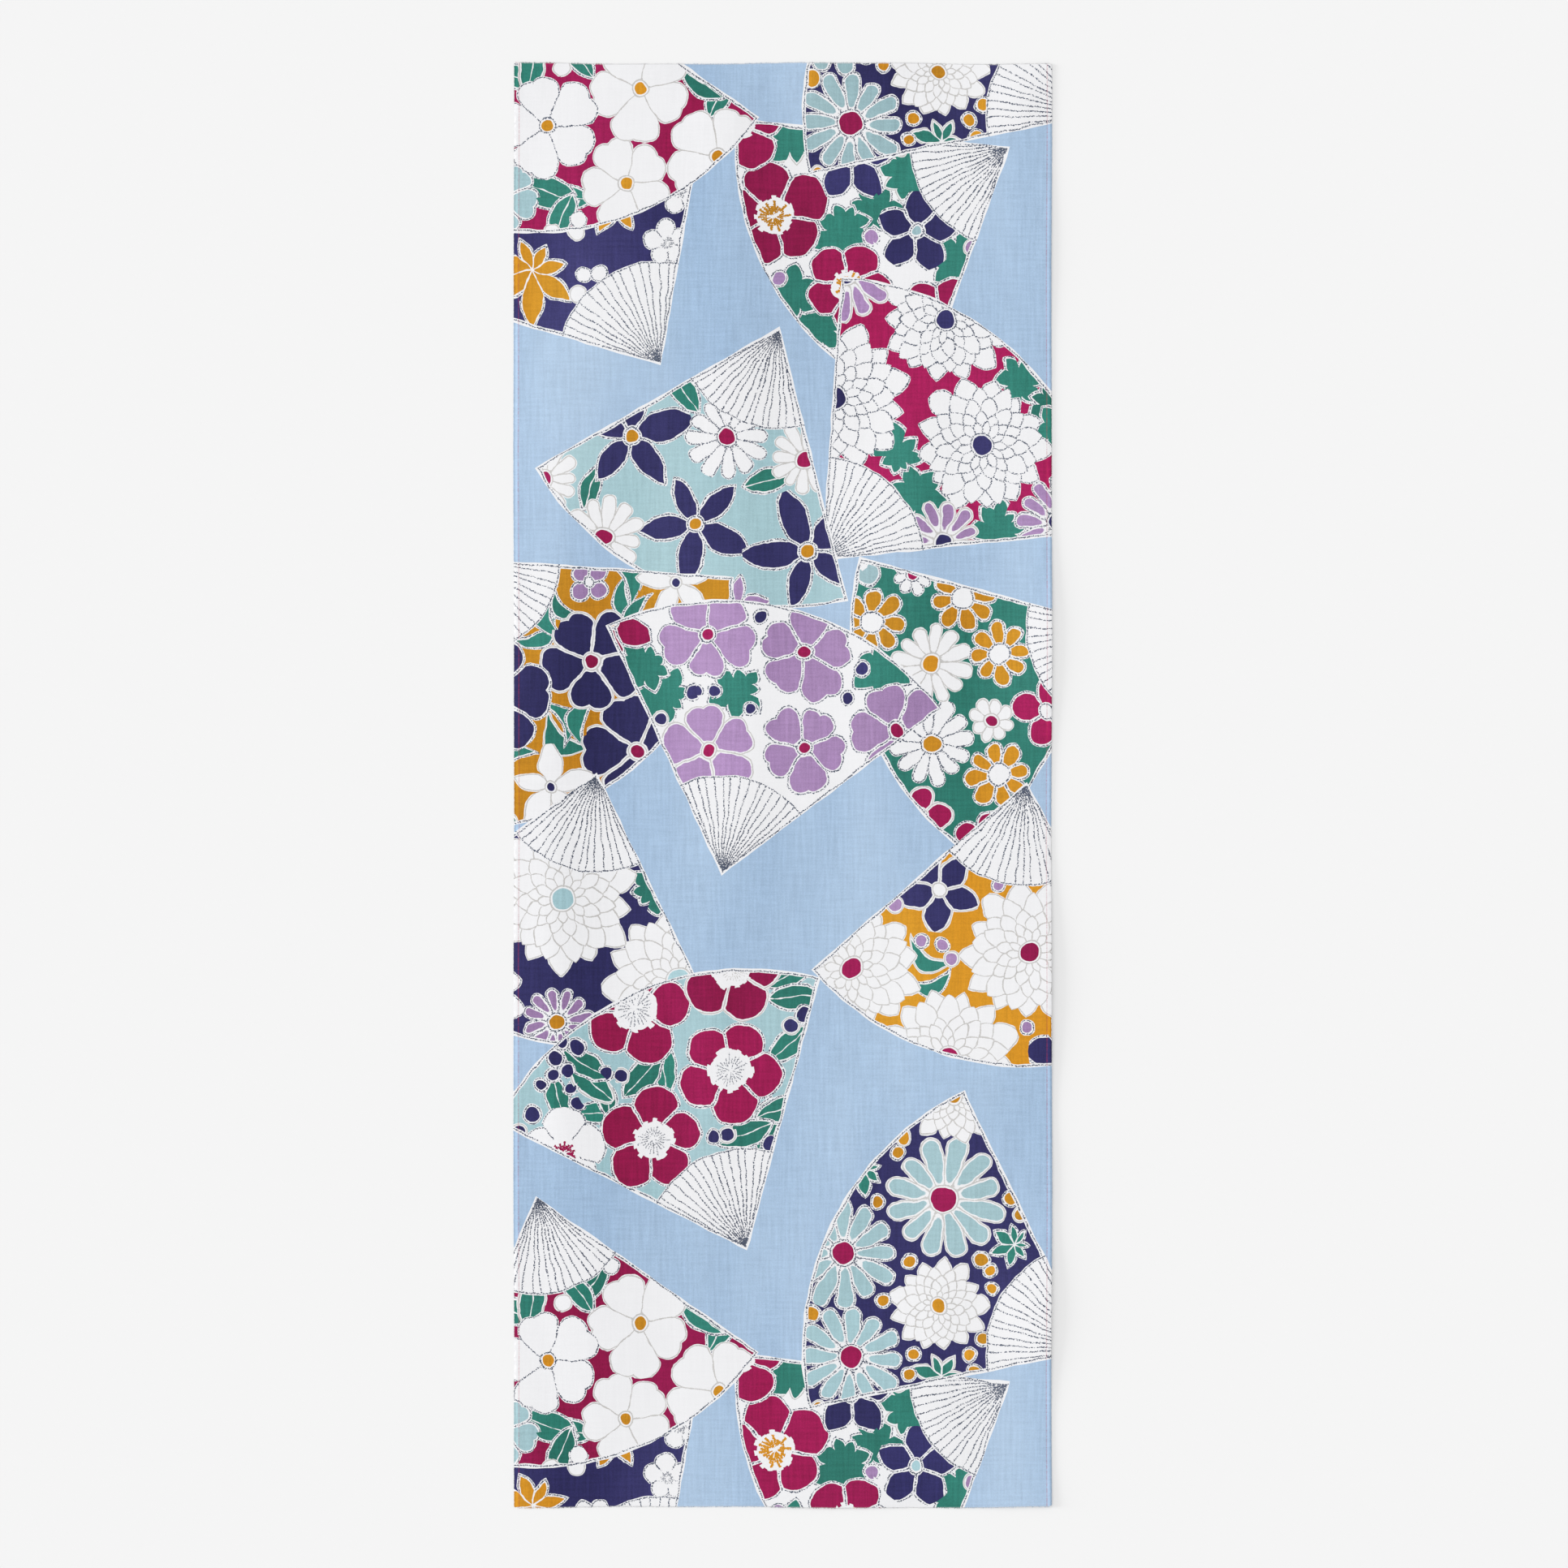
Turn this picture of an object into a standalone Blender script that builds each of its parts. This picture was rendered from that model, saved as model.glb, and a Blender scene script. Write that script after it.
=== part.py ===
# A tenugui: one length of plain-woven cotton, cut from the bolt and laid out flat.
#
# The cloth lies on the XY plane with its underside on z = 0, its length along Y
# and its two woven selvedges along the sides at -X and +X. The ends at -Y and +Y
# are plain cuts with no hem. It is one piece, so it is one solid.
# Units are metres.

import math
from collections import namedtuple

import bpy
import bmesh

# Driving dimensions.
CLOTH_WIDTH = 0.335
CLOTH_LENGTH = 0.900
SHEET_THICKNESS = 0.0012

# The grid that the sheet is worked out on. Odd counts leave a whole cell at the
# middle of the cloth, so the underside is flat round the origin.
CELLS_ACROSS = 17
CELLS_ALONG = 45

# How far the two cuts and the two selvedges wander from a straight line.
CUT_WANDER = 0.0007
SELVEDGE_WANDER = 0.0003

# Each cut's and selvedge's wander is a pair of waves along its own edge:
# waves over the whole edge, and their phase in turns.
EDGE_WAVES = {
    "far_cut": ((1.6, 0.30), (4.3, 0.05)),
    "near_cut": ((1.3, 0.85), (3.7, 0.60)),
    "left_selvedge": ((2.2, 0.10), (6.1, 0.40)),
    "right_selvedge": ((2.7, 0.55), (5.3, 0.20)),
}
SECOND_WAVE_SHARE = 0.45

# Where the cloth stands clear of the table. Each row is one soft swell: its
# middle (x, y), its half size across and along the cloth, and its height.
# A middle past the selvedge or the cut lifts that edge.
Swell = namedtuple("Swell", "x y across along height")
SWELLS = (
    # The right selvedge, from the far end to the near one.
    Swell(0.172, 0.335, 0.022, 0.060, 0.0009),
    Swell(0.172, 0.092, 0.034, 0.085, 0.0022),
    Swell(0.172, -0.123, 0.030, 0.090, 0.0026),
    Swell(0.172, -0.245, 0.026, 0.055, 0.0012),
    Swell(0.172, -0.325, 0.038, 0.065, 0.0028),
    # The right half of the near cut.
    Swell(0.030, -0.455, 0.060, 0.022, 0.0010),
    Swell(0.150, -0.452, 0.045, 0.030, 0.0012),
    # Low ones inside the cloth.
    Swell(0.045, -0.385, 0.075, 0.030, 0.0006),
    Swell(-0.085, 0.255, 0.080, 0.035, 0.0005),
)

COTTON_COLOUR = (0.402, 0.552, 0.740, 1.0)
COTTON_ROUGHNESS = 0.88


def clear_scene():
    for thing in list(bpy.data.objects):
        bpy.data.objects.remove(thing, do_unlink=True)


def make_collection(name):
    collection = bpy.data.collections.new(name)
    bpy.context.scene.collection.children.link(collection)
    return collection


def make_cotton():
    cotton = bpy.data.materials.new("dyed_cotton")
    cotton.use_nodes = True
    shader = cotton.node_tree.nodes["Principled BSDF"]
    shader.inputs["Base Color"].default_value = COTTON_COLOUR
    shader.inputs["Roughness"].default_value = COTTON_ROUGHNESS
    shader.inputs["Metallic"].default_value = 0.0
    return cotton


def edge_wander(edge, share_along, reach):
    """How far an edge stands from its straight line, at a share of its length."""
    first, second = (
        math.sin(2 * math.pi * (waves * share_along + phase))
        for waves, phase in EDGE_WAVES[edge]
    )
    return reach * (first + SECOND_WAVE_SHARE * second) / (1 + SECOND_WAVE_SHARE)


def swell_height(x, y):
    """The underside's height over the table, the sum of the swells here."""
    height = 0.0
    for swell in SWELLS:
        away = ((x - swell.x) / swell.across) ** 2 + ((y - swell.y) / swell.along) ** 2
        height += swell.height * max(0.0, 1.0 - away) ** 2
    return height


def place_on_cloth(share_across, share_along):
    """A point of the underside, from its shares of the width and the length."""
    left = -CLOTH_WIDTH / 2 + edge_wander("left_selvedge", share_along, SELVEDGE_WANDER)
    right = CLOTH_WIDTH / 2 + edge_wander("right_selvedge", share_along, SELVEDGE_WANDER)
    near = -CLOTH_LENGTH / 2 + edge_wander("near_cut", share_across, CUT_WANDER)
    far = CLOTH_LENGTH / 2 + edge_wander("far_cut", share_across, CUT_WANDER)
    x = left + (right - left) * share_across
    y = near + (far - near) * share_along
    return x, y, swell_height(x, y)


def centre_on_origin(grid):
    """Puts the middle of the sheet's box at x = y = 0, and leaves its height alone."""
    for axis in (0, 1):
        places = [vertex.co[axis] for vertex in grid.verts]
        middle = (min(places) + max(places)) / 2
        for vertex in grid.verts:
            vertex.co[axis] -= middle


def make_cloth(collection, material):
    grid = bmesh.new()
    bmesh.ops.create_grid(
        grid, x_segments=CELLS_ACROSS, y_segments=CELLS_ALONG, size=0.5
    )
    for vertex in grid.verts:
        vertex.co = place_on_cloth(vertex.co.x + 0.5, vertex.co.y + 0.5)
    centre_on_origin(grid)
    mesh = bpy.data.meshes.new("towel_cloth")
    grid.to_mesh(mesh)
    grid.free()
    mesh.shade_smooth()
    mesh.materials.append(material)

    cloth = bpy.data.objects.new("towel_cloth", mesh)
    collection.objects.link(cloth)

    # The grid is the underside, and the cloth's thickness stands on it.
    thickness = cloth.modifiers.new("thickness", "SOLIDIFY")
    thickness.thickness = SHEET_THICKNESS
    thickness.offset = 1.0
    thickness.use_rim = True
    return cloth


def main():
    clear_scene()
    towel = make_collection("tenugui_towel")
    make_cloth(towel, make_cotton())


main()
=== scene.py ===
# A tenugui: a long thin cotton towel, laid out flat, printed with scattered folding fans.
# The cloth is one sheet. Its print is a plane map: each face of the sheet knows which fan
# and which motifs cover it, and the material draws them there from their own sizes.

import math
import random

import bpy
import numpy as np
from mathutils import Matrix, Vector, noise
from mathutils.bvhtree import BVHTree
from mathutils.geometry import delaunay_2d_cdt


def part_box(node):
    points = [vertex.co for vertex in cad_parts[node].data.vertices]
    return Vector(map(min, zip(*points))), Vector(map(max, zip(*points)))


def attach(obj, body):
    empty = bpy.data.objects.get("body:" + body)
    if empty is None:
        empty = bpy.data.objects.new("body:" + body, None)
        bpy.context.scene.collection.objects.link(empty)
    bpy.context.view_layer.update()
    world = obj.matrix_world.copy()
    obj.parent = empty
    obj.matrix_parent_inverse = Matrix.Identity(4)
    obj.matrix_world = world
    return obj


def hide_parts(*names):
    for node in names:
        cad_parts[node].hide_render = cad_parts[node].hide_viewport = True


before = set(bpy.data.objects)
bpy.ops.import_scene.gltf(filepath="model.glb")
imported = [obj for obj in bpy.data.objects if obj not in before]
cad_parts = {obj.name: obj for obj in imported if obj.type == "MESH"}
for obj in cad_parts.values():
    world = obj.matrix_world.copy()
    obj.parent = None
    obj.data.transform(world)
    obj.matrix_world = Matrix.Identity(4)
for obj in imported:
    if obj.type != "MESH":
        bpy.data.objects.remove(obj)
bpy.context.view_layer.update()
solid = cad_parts["towel_cloth"]
solidLow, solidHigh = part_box("towel_cloth")
print("frame loaded")


def unit(degrees):
    return Vector((math.cos(math.radians(degrees)), math.sin(math.radians(degrees))))


def newObject(name, data):
    thing = bpy.data.objects.new(name, data)
    bpy.context.scene.collection.objects.link(thing)
    return thing


# Camera, floor and light

view = {
    "wide": 0.978,  # of the cloth's plane that the frame takes in
    "lens": 100.0,
    "aim": (0.0008, 0.0008),
    "cotton": 0.0003,  # height of the printed face
}
floorPaper = {"half": 6.0, "grey": 0.8, "roughness": 0.9, "specular": 0.1}
light = {
    "sky": 1.0155,
    "sun": 2.833,
    "spread": 15.0,  # degrees that the lamp looks wide, for soft shadows
    "height": 8.0,
    "from": 176.0,  # round from +X: the left
}


def setCamera():
    data = bpy.data.cameras.new("camera")
    data.lens = view["lens"]
    camera = newObject("camera", data)
    far = view["wide"] * data.lens / data.sensor_width
    camera.location = (*view["aim"], view["cotton"] + far)
    bpy.context.scene.camera = camera


def setFloor():
    half, grey = floorPaper["half"], floorPaper["grey"]
    mesh = bpy.data.meshes.new("floor")
    corners = [(-half, -half, 0), (half, -half, 0), (half, half, 0), (-half, half, 0)]
    mesh.from_pydata(corners, [], [(0, 1, 2, 3)])
    floor = newObject("floor", mesh)
    paper = bpy.data.materials.new("floorPaper")
    paper.use_nodes = True
    shader = paper.node_tree.nodes["Principled BSDF"]
    shader.inputs["Base Color"].default_value = (grey, grey, grey, 1)
    shader.inputs["Roughness"].default_value = floorPaper["roughness"]
    shader.inputs["Specular IOR Level"].default_value = floorPaper["specular"]
    mesh.materials.append(paper)


def setLight():
    scene = bpy.context.scene
    scene.view_settings.view_transform = "Standard"
    scene.world = bpy.data.worlds.new("studio")
    scene.world.use_nodes = True
    sky = scene.world.node_tree.nodes["Background"]
    sky.inputs["Color"].default_value = (1, 1, 1, 1)
    sky.inputs["Strength"].default_value = light["sky"]
    data = bpy.data.lights.new("window", "SUN")
    data.energy = light["sun"]
    data.angle = math.radians(light["spread"])
    sun = newObject("window", data)
    up = math.radians(light["height"])
    towards = Vector((*unit(light["from"]) * math.cos(up), math.sin(up)))
    sun.rotation_mode = "QUATERNION"
    sun.rotation_quaternion = towards.to_track_quat("Z", "Y")


setCamera()
setFloor()
setLight()
print("camera, floor and light set")


# The dyes, as the finished cloth shows them

lampGain = 1.141  # how bright white paper looks under this light, beside full white
palest = 0.9  # the most light that any dye gives back


def linear(level):
    # a screen's level, 0 to 255, as a share of light
    level /= 255
    return level / 12.92 if level <= 0.04045 else ((level + 0.055) / 1.055) ** 2.4


def dye(red, green, blue):
    # a colour as seen on the cloth, as the share of light that the cotton gives back
    return tuple(min(linear(level) / lampGain, palest) for level in (red, green, blue)) + (1.0,)


dyes = {
    "sky": dye(169, 194, 221),
    "navy": dye(51, 49, 98),
    "crimson": dye(153, 23, 79),
    "green": dye(49, 124, 111),
    "lilac": dye(166, 134, 180),
    "mustard": dye(204, 140, 34),
    "aqua": dye(163, 195, 202),
    "white": dye(240, 240, 242),
}


# The printed motifs. Each is a ring of like petals round a middle, in shares of its size:
# a petal is a round of "round" at "reach" from the middle, drawn out towards it by "inner".
# A spread above 0 notches its tip, and one below 0 points it.

noGaps = -100.0  # as a split, it leaves out the gaps between petals
plainMotif = {
    "petals": 5,
    "spread": 0.0,
    "reach": 0.56,
    "round": 0.44,
    "inner": 1.0,
    "bend": 0.0,  # how far it curls to one side
    "split": 0.0,  # half the width of the gaps between petals, in millimetres
    "heart": 0.0,  # radius of the middle disc
    "stamens": 0.0,  # how far the stamens reach
    "rays": 0.2,  # half the width of a stamen in millimetres
    "fall": 0.0,  # how much shorter the far lobes of a leaf are
    "rings": 1,
    "step": 0.2,  # how much smaller each ring of petals is than the one outside it
    "pale": 0.3,  # how often its lines are pale and unbroken, not dark and broken
    "body": 1.0,  # share of its size that keeps others off
    "leaf": False,  # leaves lie under flowers
}
leafLike = {"pale": 0.1, "body": 0.36, "leaf": True}
motifKinds = {
    "plum": {"reach": 0.57, "round": 0.43, "inner": 0.72, "stamens": 0.40},
    "camellia": {"spread": 0.05, "reach": 0.58, "round": 0.40, "inner": 0.66, "stamens": 0.36,
                 "rays": 0.8},
    "cherry": {"spread": 0.15, "reach": 0.68, "round": 0.29, "inner": 0.5, "heart": 0.13},
    "star": {"spread": -0.50, "reach": 0.52, "round": 0.74, "heart": 0.12},
    "bell": {"spread": -0.34, "reach": 0.56, "round": 0.72, "inner": 0.8, "heart": 0.14},
    "daisy": {"petals": 12, "reach": 0.84, "round": 0.16, "inner": 0.24, "heart": 0.22},
    "clover": {"petals": 4, "reach": 0.58, "round": 0.40, "inner": 0.8, "heart": 0.16},
    "button": {"petals": 8, "reach": 0.74, "round": 0.25, "inner": 0.42, "heart": 0.27},
    "mum": {"petals": 13, "spread": -0.20, "reach": 0.68, "round": 0.38, "inner": 0.3, "heart": 0.15,
            "rings": 5, "step": 0.16, "pale": 0.6},
    "leaf": {**leafLike, "petals": 1, "spread": -0.86, "reach": 0.0, "round": 1.32, "split": -0.8},
    "curl": {**leafLike, "petals": 1, "spread": -1.25, "reach": 0.0, "round": 1.60, "split": noGaps,
             "bend": 0.7},
    "lobed": {**leafLike, "petals": 7, "spread": -0.34, "reach": 0.40, "round": 0.70,
              "split": noGaps, "fall": 0.5},
    "maple": {**leafLike, "petals": 7, "spread": -0.56, "reach": 0.45, "round": 0.80,
              "split": -0.7, "fall": 0.5, "body": 0.8},
    "bud": {"petals": 1, "reach": 0.0, "round": 1.0, "split": noGaps},
}


# The fans of one repeat, the lowest first. Places are in millimetres from the middle of the
# cloth, and facing is the way that the open fan points, in degrees round from +X. Each row
# that a fan holds is a kind, its size, how many at most, its dye, and its heart's if another.

clothHalf = (168, 451)  # the cloth reaches no further, in millimetres
repeatLength = 770.0
ribShare = 0.36  # of a fan's radius, where its paper starts
fans = [
    {"at": (-76, 262), "facing": 122, "open": 84, "radius": 178, "ground": "navy",
     "holds": [("maple", 36, 4, "mustard"), ("maple", 31, 4, "crimson"),
               ("maple", 27, 4, "aqua"), ("plum", 15, 12, "white", "crimson"),
               ("bud", 5, 16, "white")]},
    {"at": (142, 398), "facing": 212, "open": 76, "radius": 172, "ground": "white",
     "holds": [("camellia", 31, 5, "crimson", "mustard"), ("bell", 25, 5, "navy", "aqua"),
               ("lobed", 24, 18, "green"), ("bud", 4.5, 18, "lilac")]},
    {"at": (24, 140), "facing": 46, "open": 80, "radius": 178, "ground": "crimson",
     "holds": [("mum", 42, 3, "white", "navy"), ("daisy", 27, 5, "lilac", "navy"),
               ("lobed", 24, 18, "green"), ("bell", 13, 10, "aqua", "white")]},
    {"at": (-2, 286), "facing": 247, "open": 74, "radius": 176, "ground": "aqua",
     "holds": [("star", 36, 4, "navy", "mustard"), ("daisy", 23, 5, "white", "crimson"),
               ("star", 19, 7, "lilac", "white"), ("leaf", 16, 20, "green")]},
    {"at": (-200, 142), "facing": 316, "open": 80, "radius": 170, "ground": "mustard",
     "holds": [("cherry", 34, 4, "navy", "crimson"), ("star", 26, 5, "white", "navy"),
               ("clover", 14, 10, "lilac", "white"), ("curl", 17, 18, "green")]},
    {"at": (214, 98), "facing": 202, "open": 74, "radius": 172, "ground": "green",
     "holds": [("daisy", 27, 3, "white", "mustard"), ("button", 21, 4, "mustard", "white"),
               ("clover", 19, 4, "crimson", "white"), ("plum", 20, 4, "aqua", "white"),
               ("daisy", 18, 5, "lilac", "navy"), ("button", 13, 16, "white", "crimson"),
               ("clover", 9, 18, "navy", "white")]},
    {"at": (-38, -56), "facing": 76, "open": 78, "radius": 172, "ground": "white",
     "holds": [("cherry", 31, 5, "lilac", "crimson"), ("bell", 27, 4, "crimson", "mustard"),
               ("lobed", 25, 16, "green"), ("bud", 5, 16, "navy")]},
    {"at": (-116, 8), "facing": 256, "open": 80, "radius": 172, "ground": "navy",
     "holds": [("mum", 44, 3, "white", "aqua"), ("daisy", 25, 5, "lilac", "mustard"),
               ("lobed", 24, 16, "green"), ("plum", 13, 8, "crimson", "white")]},
    {"at": (152, 2), "facing": 260, "open": 78, "radius": 178, "ground": "mustard",
     "holds": [("mum", 40, 3, "white", "crimson"), ("bell", 24, 5, "navy", "white"),
               ("curl", 17, 20, "green"), ("bud", 5, 18, "lilac")]},
    {"at": (-22, -290), "facing": 114, "open": 78, "radius": 176, "ground": "aqua",
     "holds": [("plum", 33, 4, "crimson", "white"), ("camellia", 28, 5, "white", "crimson"),
               ("leaf", 18, 13, "green"), ("bud", 5, 18, "navy")]},
    {"at": (192, -352), "facing": 154, "open": 76, "radius": 180, "ground": "navy",
     "holds": [("daisy", 34, 3, "aqua", "crimson"), ("mum", 32, 4, "white", "mustard"),
               ("maple", 19, 16, "green"), ("bud", 4.5, 20, "mustard")]},
    {"at": (-154, -256), "facing": 286, "open": 78, "radius": 170, "ground": "crimson",
     "holds": [("cherry", 33, 4, "white", "mustard"), ("cherry", 22, 8, "aqua", "navy"),
               ("leaf", 17, 18, "green"), ("bud", 5, 20, "white")]},
]


fanEdge = {
    "arcSteps": 44,
    "sideSteps": 26,
    "wobble": 0.9,  # how far a hand-drawn edge drifts, in millimetres
    "wobbleLength": 12.0,
    "seed": 3,
}
noise.seed_set(fanEdge["seed"])  # or the drift would take its seed from the clock
scatter = {
    "seed": 11,
    "tries": 160,
    "sizeSpread": 0.10,
    "fromRibs": 0.4,  # how far a motif's middle keeps off the ribs, in shares of its body
    "overRim": 0.1,  # how far past the rim it may lie
    "overlap": 0.06,  # and how deep it may lie over another
}


def wobbled(point, seed):
    # an outline point after a smooth drift
    length, amount = fanEdge["wobbleLength"], fanEdge["wobble"]
    drift = noise.noise_vector(Vector((point[0] / length, point[1] / length, seed)))
    return Vector((point[0] + amount * drift[0], point[1] + amount * drift[1]))


def fanOutline(fan):
    half = fan["open"] / 2
    pivot = Vector(fan["at"])
    steps, side = fanEdge["arcSteps"], fanEdge["sideSteps"]
    arc = [pivot + fan["radius"] * unit(fan["facing"] - half + fan["open"] * k / steps)
           for k in range(steps + 1)]
    up = [pivot.lerp(arc[0], k / side) for k in range(side)]
    down = [arc[-1].lerp(pivot, k / side) for k in range(1, side)]
    return [wobbled(point, fan["radius"]) for point in up + arc + down]


def placeMotifs(fan, rng):
    # each motif goes where it lies closest to those already there without covering them
    placed = []
    for name, span, most, *dyed in fan["holds"]:
        kind = {**plainMotif, **motifKinds[name]}
        for k in range(most):
            size = span * rng.uniform(1 - scatter["sizeSpread"], 1 + scatter["sizeSpread"])
            body = size * kind["body"]
            low = (ribShare * fan["radius"] + scatter["fromRibs"] * body) ** 2
            high = (fan["radius"] + scatter["overRim"] * body) ** 2
            best = None
            for attempt in range(scatter["tries"]):
                far = math.sqrt(rng.uniform(low, high))
                way = unit(fan["facing"] + fan["open"] * rng.uniform(-0.5, 0.5))
                at = Vector(fan["at"]) + far * way
                gaps = [(at - other["at"]).length - body - other["body"] for other in placed]
                gap = min(gaps, default=0.0)
                if gap > -scatter["overlap"] * body and (best is None or gap < best[0]):
                    best = (gap, at)
            if best is None:
                break
            placed.append({"kind": kind, "at": best[1], "size": size, "body": body,
                           "turn": rng.uniform(0, 360), "tone": float(rng.random() < kind["pale"]),
                           "petalDye": dyed[0], "heartDye": dyed[-1]})
    return sorted(placed, key=lambda motif: not motif["kind"]["leaf"])


def layOutPrint():
    rng = random.Random(scatter["seed"])
    laid = []
    for fan in fans:
        motifs = placeMotifs(fan, rng)
        for shift in (-repeatLength, 0.0, repeatLength):
            moved = {**fan, "at": Vector(fan["at"]) + Vector((0, shift))}
            if abs(moved["at"].y) > clothHalf[1] + fan["radius"]:
                continue
            moved["motifs"] = [{**m, "at": m["at"] + Vector((0, shift))} for m in motifs]
            laid.append(moved)
    return laid


# The sheet

cloth = {
    "thick": 0.00034,
    "cell": 0.005,
    "settled": 0.75,  # how high it rides beside its solid
    "ripple": 0.00022,  # how high it stands off the table between its touching places
    "rippleScale": (26, 17),  # ripples in a metre, across and along the cloth
    "crinkleScale": (75, 60),  # and the smaller ones on them
    "rippleLevel": (0.35, 0.6, 1.4),  # their middle, swing and most, in shares of that height
    "rimRipple": 0.3,  # how much of them is left at the rim
    "slack": 0.0003,  # how much higher the right side rides
    "slackWide": 0.07,
    "wave": 0.0020,  # how high the soft lengthwise waves rise
    "waveScale": (15, 2.4),
    "waveLevel": (0.45, 1.0, 1.2),
    "flatEdge": 0.03,  # how far in from its rim the waves are full
    "rimSteps": (150, 400),  # points along a cut, and along a selvedge
    "cornerWide": 0.0008,  # how much of each corner is worn off, along the cut
    "cornerLong": 0.0005,  # and along the selvedge
}
corner = {"left": solidLow.x, "right": solidHigh.x, "near": solidLow.y, "far": solidHigh.y}


def solidTree():
    mesh = solid.data
    mesh.calc_loop_triangles()
    return BVHTree.FromPolygons([v.co for v in mesh.vertices], [t.vertices for t in mesh.loop_triangles])


def edgeOf(tree, inner, outer):
    # where a level line from inside the cloth passes its rim, seen from straight above
    inner, outer = Vector(inner), Vector(outer)
    for halving in range(14):  # to about a hundredth of a millimetre
        middle = (inner + outer) / 2
        if tree.ray_cast(Vector((*middle, 1)), Vector((0, 0, -1)))[0] is None:
            outer = middle
        else:
            inner = middle
    return inner


def clothOutline(tree):
    # the solid's own outline: its near cut, right selvedge, far cut and left selvedge
    deep = 0.004  # each line is drawn from this far inside the box to this far outside
    acrossSteps, alongSteps = cloth["rimSteps"]

    def selvedge(inner, outer, nearEnd, farEnd):
        worn = cloth["cornerLong"]
        ys = np.linspace(nearEnd.y + worn, farEnd.y - worn, alongSteps)
        return [edgeOf(tree, (inner, y), (outer, y)) for y in ys]

    low, high = (edgeOf(tree, (0, 0), (x, 0)).x for x in (corner["left"] - deep, corner["right"] + deep))
    xs = np.linspace(low + cloth["cornerWide"], high - cloth["cornerWide"], acrossSteps)
    near = [edgeOf(tree, (x, corner["near"] + deep), (x, corner["near"] - deep)) for x in xs]
    far = [edgeOf(tree, (x, corner["far"] - deep), (x, corner["far"] + deep)) for x in xs]
    left = selvedge(corner["left"] + deep, corner["left"] - deep, near[0], far[0])
    right = selvedge(corner["right"] - deep, corner["right"] + deep, near[-1], far[-1])
    return near, right, far, left


def smoothHeights(tree):
    # the underside's height over the whole cloth, on a regular grid, with the solid's facets softened
    step = 0.004
    taps = 9  # grid points that each height is averaged over, each way
    inWide, inLong = 0.0012, 0.0022  # keep each look up inside the wandering rim
    across = int((corner["right"] - corner["left"]) / step) + 2
    along = int((corner["far"] - corner["near"]) / step) + 2
    grid = np.zeros((along, across))
    for j in range(along):
        for i in range(across):
            x = min(max(corner["left"] + i * step, corner["left"] + inWide), corner["right"] - inWide)
            y = min(max(corner["near"] + j * step, corner["near"] + inLong), corner["far"] - inLong)
            hit = tree.ray_cast(Vector((x, y, -1)), Vector((0, 0, 1)))[0]
            grid[j, i] = hit.z if hit is not None else 0.0
    kernel = np.exp(-np.linspace(-2, 2, taps) ** 2 / 2)
    kernel /= kernel.sum()
    for axis in (0, 1):
        beside = [(taps // 2, taps // 2) if a == axis else (0, 0) for a in (0, 1)]
        padded = np.pad(grid, beside, mode="edge")
        grid = np.apply_along_axis(lambda row: np.convolve(row, kernel, "valid"), axis, padded)
    return grid, step


def rolling(points, scale, seed):
    # a smooth random height for each point, above and below 0
    return np.array([noise.noise(Vector((x * scale[0], y * scale[1], seed))) for x, y in points])


def levelled(rolls, level):
    middle, swing, most = cloth[level]
    return np.clip(middle + swing * rolls, 0, most)


def heightAt(points, heights):
    grid, step = heights
    short = 1.001  # keeps the far rim in the last cell
    i = np.clip((points[:, 0] - corner["left"]) / step, 0, grid.shape[1] - short)
    j = np.clip((points[:, 1] - corner["near"]) / step, 0, grid.shape[0] - short)
    i0, j0 = i.astype(int), j.astype(int)
    fi, fj = i - i0, j - j0
    low = grid[j0, i0] * (1 - fi) + grid[j0, i0 + 1] * fi
    high = grid[j0 + 1, i0] * (1 - fi) + grid[j0 + 1, i0 + 1] * fi
    base = low * (1 - fj) + high * fj
    ripple = rolling(points, cloth["rippleScale"], 3.0) + 0.5 * rolling(points, cloth["crinkleScale"], 9.0)
    ripple = cloth["ripple"] * levelled(ripple, "rippleLevel")
    wave = levelled(rolling(points, cloth["waveScale"], 21.0), "waveLevel") ** 2
    slack = np.clip(1 - (corner["right"] - points[:, 0]) / cloth["slackWide"], 0, 1) ** 2
    inside = np.minimum(np.minimum(points[:, 0] - corner["left"], corner["right"] - points[:, 0]),
                        np.minimum(points[:, 1] - corner["near"], corner["far"] - points[:, 1]))
    free = np.clip(inside / cloth["flatEdge"], 0, 1)
    free = free * free * (3 - 2 * free)
    return (cloth["settled"] * base + cloth["slack"] * slack + free * cloth["wave"] * wave
            + (cloth["rimRipple"] + (1 - cloth["rimRipple"]) * free) * ripple)


layerNames = ("low", "middle", "top")  # of the motifs that may lie on each other
motifParts = ("Place", "Form", "Petal", "Draw", "Heart", "Rings")  # what shapes a motif
dyedParts = ("PetalDye", "HeartDye")
unevenDye = 0.32  # how much stronger or weaker the dye took from one motif to the next
dyeLot = 9  # millimetres over which that changes
printMap = {  # lengths in millimetres
    "grown": 1.04,  # a motif's outline in the map, beside its size
    "spill": 1.6,  # and how much further its lines and dye reach
    "small": 12,
    "smallSides": 14,
    "sides": 24,
    "overRibs": 5,  # how far in past the start of the paper motifs are mapped
}


def printedDye(name, at):
    if name == "white":
        return dyes[name][:3]
    shade = 1 + unevenDye * noise.noise(Vector((at[0] / dyeLot, at[1] / dyeLot, 2.0)))
    return tuple(share * shade for share in dyes[name][:3])


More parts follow.
